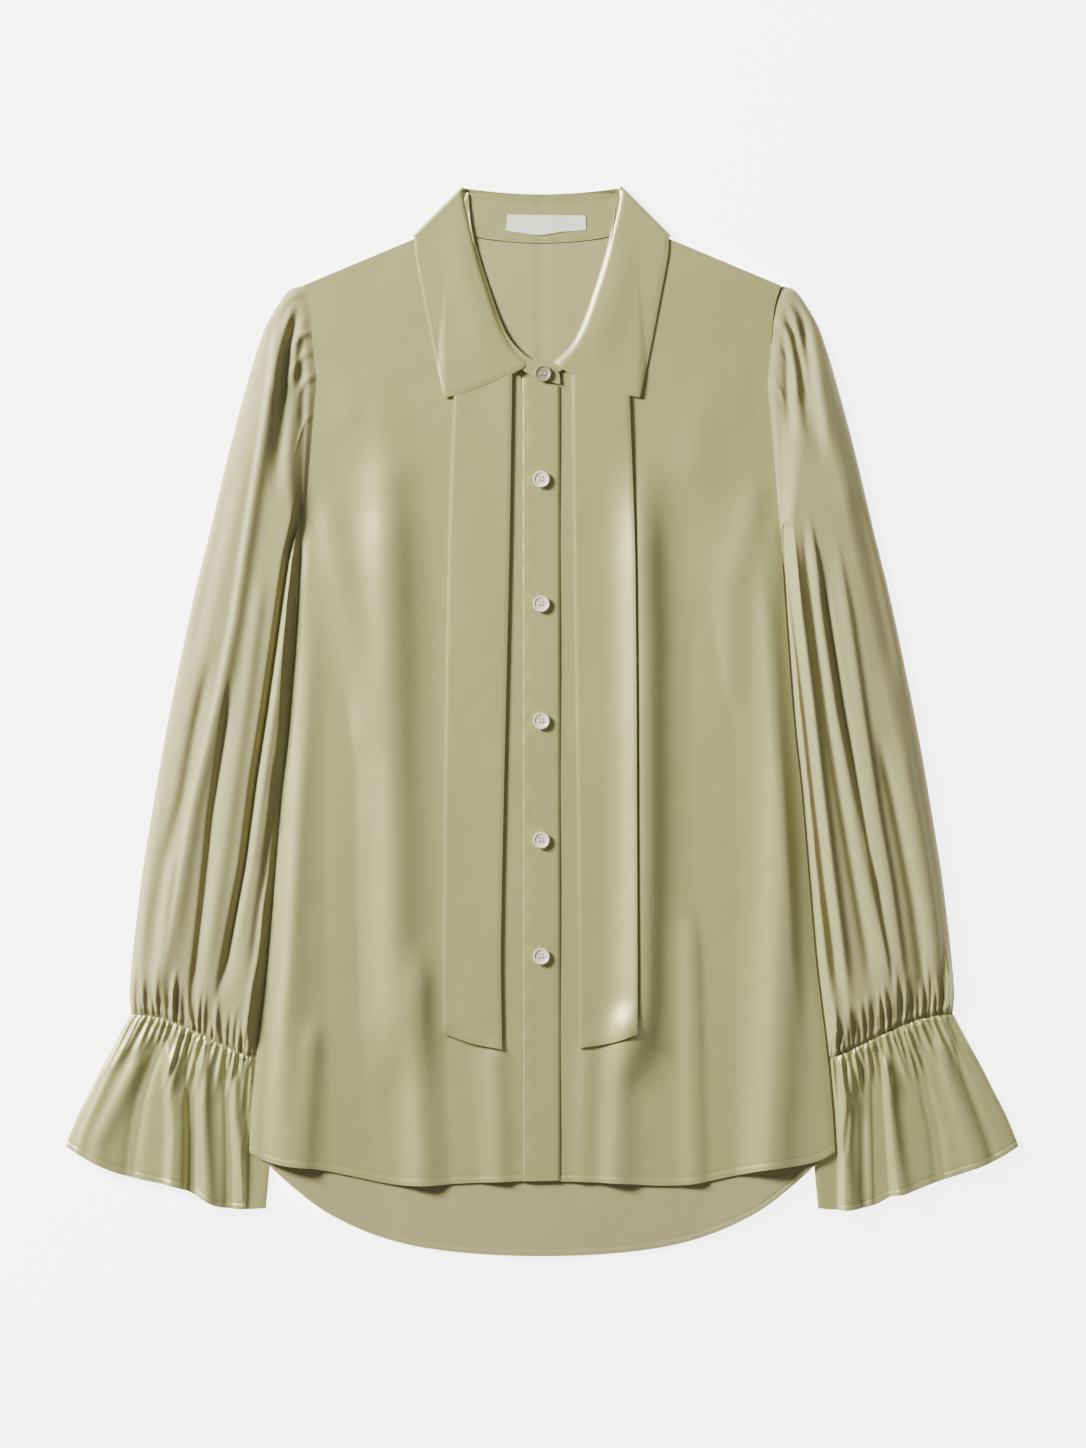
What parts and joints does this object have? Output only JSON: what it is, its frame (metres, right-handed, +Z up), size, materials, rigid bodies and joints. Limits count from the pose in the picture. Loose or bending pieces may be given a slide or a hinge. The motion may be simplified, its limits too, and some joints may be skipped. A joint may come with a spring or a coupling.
{
  "type": "blouse",
  "caption": "Sage green satin blouse laid flat, with a pointed collar, two long neck ties, a buttoned placket, full sleeves and gathered wrist flounces.",
  "frame": {"origin": "middle of the laid-out blouse's outline, on the surface that it rests on", "axes": "+Y from the hem towards the collar, +X towards the viewer's right, +Z up out of the front"},
  "size_m": [0.7632, 0.8562, 0.0153],
  "materials": {
    "satin": "satin",
    "satin_inside": "matte",
    "label": "matte",
    "button_cream": "gloss",
    "button_olive": "gloss"
  },
  "bodies": {
    "root": {"back": "satin_inside", "front_left": "satin", "front_right": "satin", "button_placket": "satin", "collar_stand": "satin", "collar_leaf": "satin", "tie_left": "satin", "tie_right": "satin", "sleeve_left": "satin", "sleeve_right": "satin", "ruffle_left": "satin", "ruffle_right": "satin", "neck_label": "label", "button_top": "button_olive", "button_1": "button_cream", "button_2": "button_cream", "button_3": "button_cream", "button_4": "button_cream", "button_5": "button_cream"}
  },
  "joints": []
}
